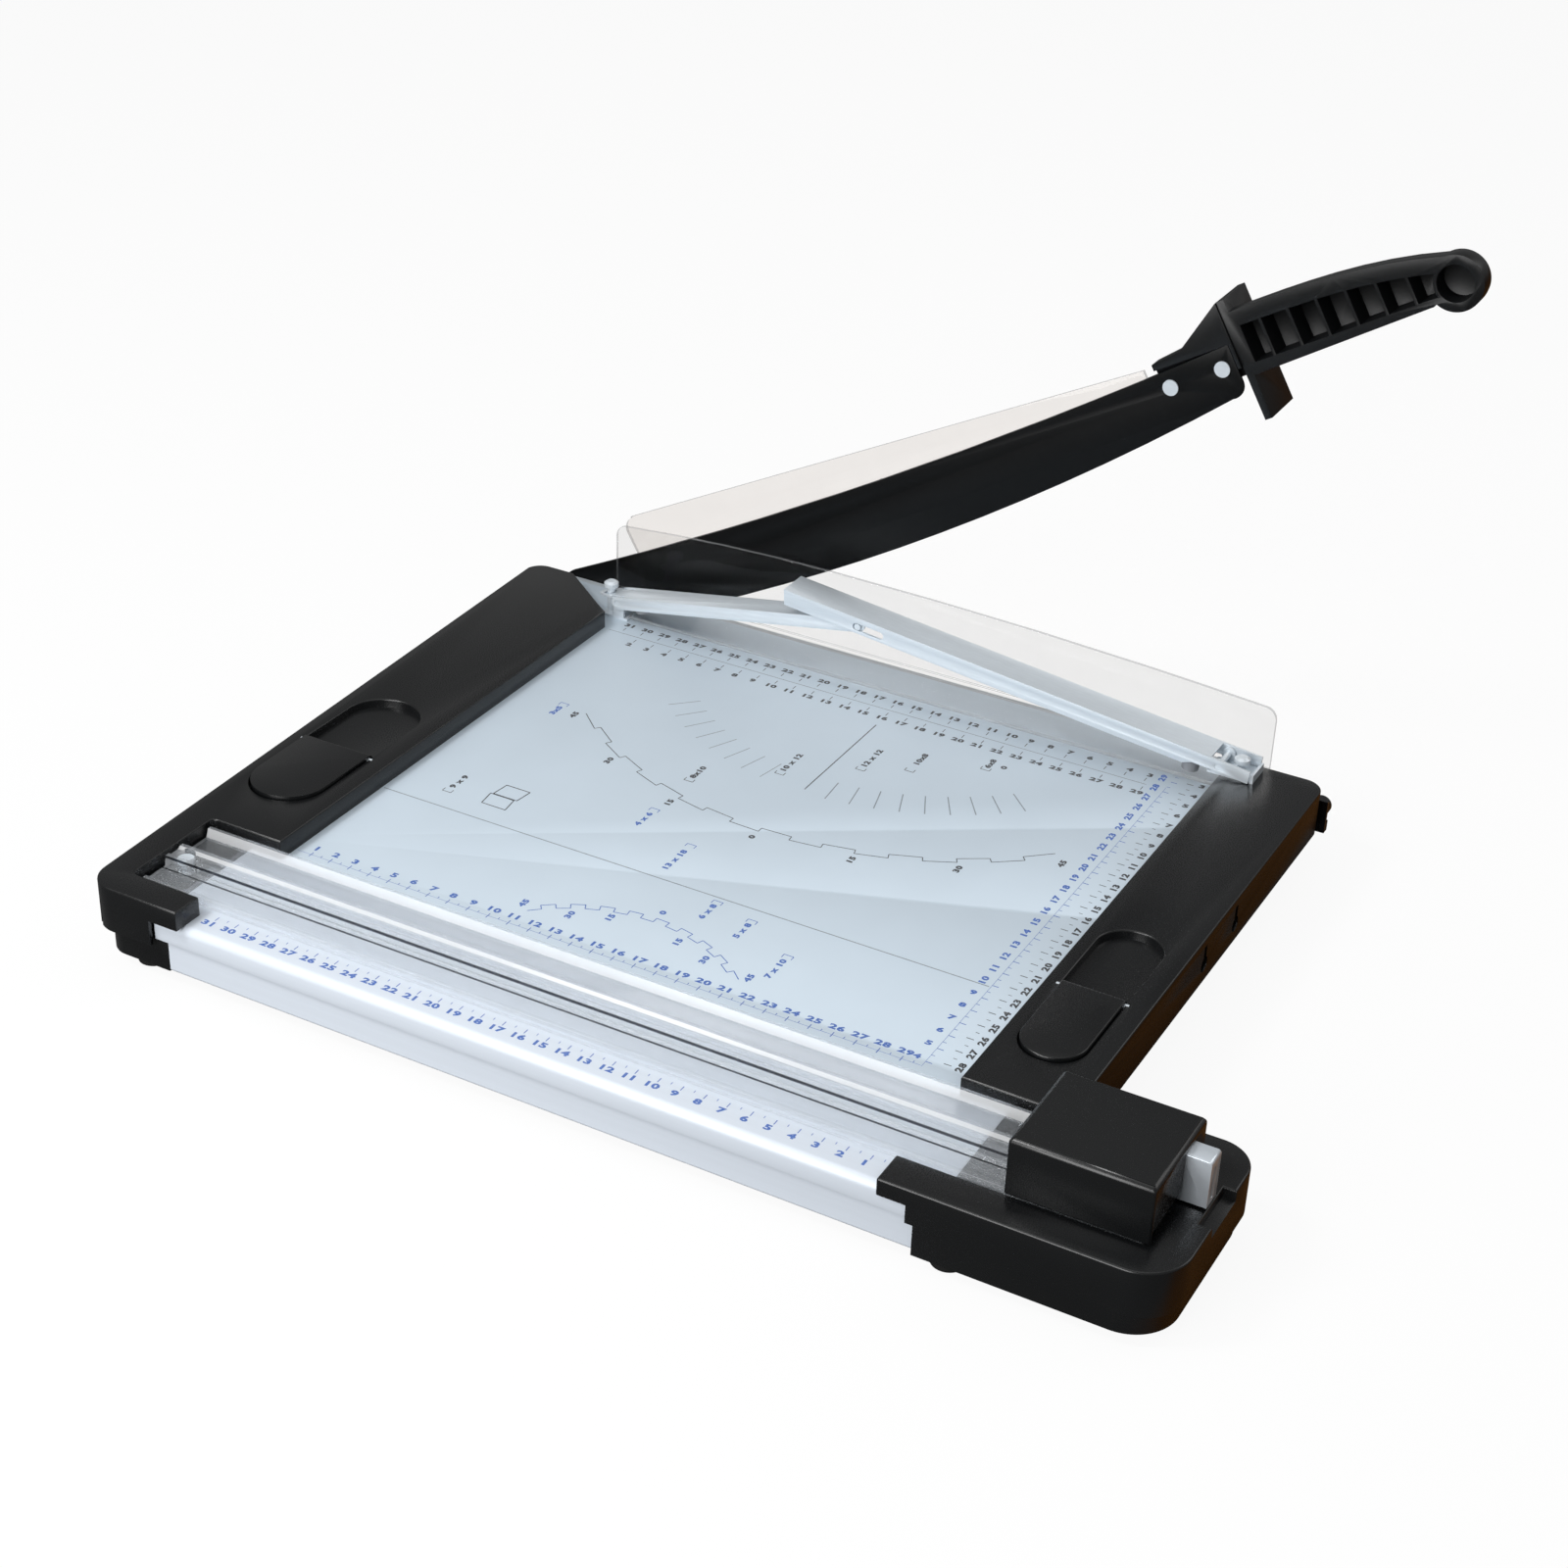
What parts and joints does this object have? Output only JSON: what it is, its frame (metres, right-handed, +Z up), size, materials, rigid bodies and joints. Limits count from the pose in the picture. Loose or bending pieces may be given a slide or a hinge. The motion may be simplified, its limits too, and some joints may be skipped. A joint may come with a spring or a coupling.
{
  "type": "paper trimmer",
  "caption": "Desk paper trimmer with a guillotine arm at the back and a rotary cutter on a clear rail at the front.",
  "frame": {"origin": "under the middle of the whole trimmer, on the plane that its rubber feet stand on", "axes": "+X along both cutting lines towards the end block and the handle, +Y from the rotary rail to the guillotine, +Z up"},
  "size_m": [0.4878, 0.3901, 0.2847],
  "materials": {
    "pan": "satin",
    "shell": "satin",
    "profile": "satin",
    "strip": "matte",
    "bright_steel": "bright",
    "blade_steel": "ground",
    "black_steel": "satin",
    "handle": "satin",
    "clear": "clear",
    "nylon": "satin",
    "button": "silver",
    "carriage": "matte",
    "rubber": "matte"
  },
  "bodies": {
    "base": {"table_plate": "pan", "left_frame": "shell", "right_frame": "shell", "left_end_cap": "shell", "end_block": "shell", "front_extrusion": "profile", "cutting_strip": "strip", "fixed_blade": "blade_steel", "blade_screws": "bright_steel", "pivot_bracket": "bright_steel", "pivot_bolt": "bright_steel", "spring_washer": "bright_steel", "lock_nut": "bright_steel", "frame_screws": "bright_steel", "rubber_feet": "rubber", "rear_stop": "shell", "left_lever_bracket": "bright_steel", "right_lever_bracket": "bright_steel", "lever_studs": "bright_steel", "lever_pins": "bright_steel", "rail_screws": "bright_steel", "rail_springs": "bright_steel", "flap_pins": "bright_steel"},
    "arm": {"blade_arm": "black_steel", "handle": "handle", "arm_rivets": "bright_steel", "arm_guard": "clear", "guard_screws": "bright_steel"},
    "right_lever_body": {"right_lever": "bright_steel", "right_buffer": "nylon"},
    "left_lever_body": {"left_lever": "bright_steel", "left_buffer": "nylon", "link_pin": "bright_steel"},
    "shield_body": {"guard_shield": "clear"},
    "rail_body": {"clear_rail": "clear", "rail_wings": "clear", "rail_edges": "clear"},
    "head_body": {"head_cover": "shell", "head_carriage": "carriage", "carriage_cheeks": "carriage", "blade_axle": "bright_steel", "button_spring": "bright_steel"},
    "cutter_body": {"blade_hub": "bright_steel", "rotary_blade": "blade_steel"},
    "button_body": {"head_button": "button"},
    "left_flap_body": {"left_flap": "shell"},
    "right_flap_body": {"right_flap": "shell"}
  },
  "joints": [
    {"name": "arm_pivot", "type": "hinge", "parent": "base", "child": "arm", "pos_m": [-0.222, 0.1688, 0.019], "axis": [0, -1, 0], "range_deg": [-27, 30]},
    {"name": "right_lever_pivot", "type": "hinge", "parent": "base", "child": "right_lever_body", "pos_m": [0.132, 0.14345, 0.0445], "axis": [0, -1, 0], "range_deg": [0, 6]},
    {"name": "left_lever_pivot", "type": "hinge", "parent": "base", "child": "left_lever_body", "pos_m": [-0.184, 0.14345, 0.0402], "axis": [0, 1, 0], "range_deg": [0, 8.25]},
    {"name": "shield_press", "type": "slide", "parent": "base", "child": "shield_body", "axis": [0, 0, -1], "range_m": [0, 0.00151]},
    {"name": "rail_press", "type": "slide", "parent": "base", "child": "rail_body", "axis": [0, 0, -1], "range_m": [0, 0.0005], "stiffness_N_per_m": 3000, "springref_m": -0.003, "deforming": ["rail_springs"]},
    {"name": "head_slide", "type": "slide", "parent": "rail_body", "child": "head_body", "axis": [-1, 0, 0], "range_m": [0, 0.391]},
    {"name": "blade_spin", "type": "hinge", "parent": "head_body", "child": "cutter_body", "pos_m": [0.1971, -0.15605, 0.0441], "axis": [0, 1, 0], "continuous": true},
    {"name": "button_press", "type": "slide", "parent": "head_body", "child": "button_body", "axis": [-1, 0, 0], "range_m": [0, 0.0025], "stiffness_N_per_m": 500, "springref_m": -0.002},
    {"name": "left_flap_hinge", "type": "hinge", "parent": "base", "child": "left_flap_body", "pos_m": [-0.213, -0.0528, 0.0389], "axis": [-1, 0, 0], "range_deg": [0, 178]},
    {"name": "right_flap_hinge", "type": "hinge", "parent": "base", "child": "right_flap_body", "pos_m": [0.153, -0.0528, 0.0389], "axis": [-1, 0, 0], "range_deg": [0, 178]}
  ],
  "couplings": [
    {"joint": "left_lever_pivot", "follows": "right_lever_pivot", "ratio": 1.365},
    {"joint": "shield_press", "follows": "right_lever_pivot", "m_per_rad": 0.0143}
  ]
}
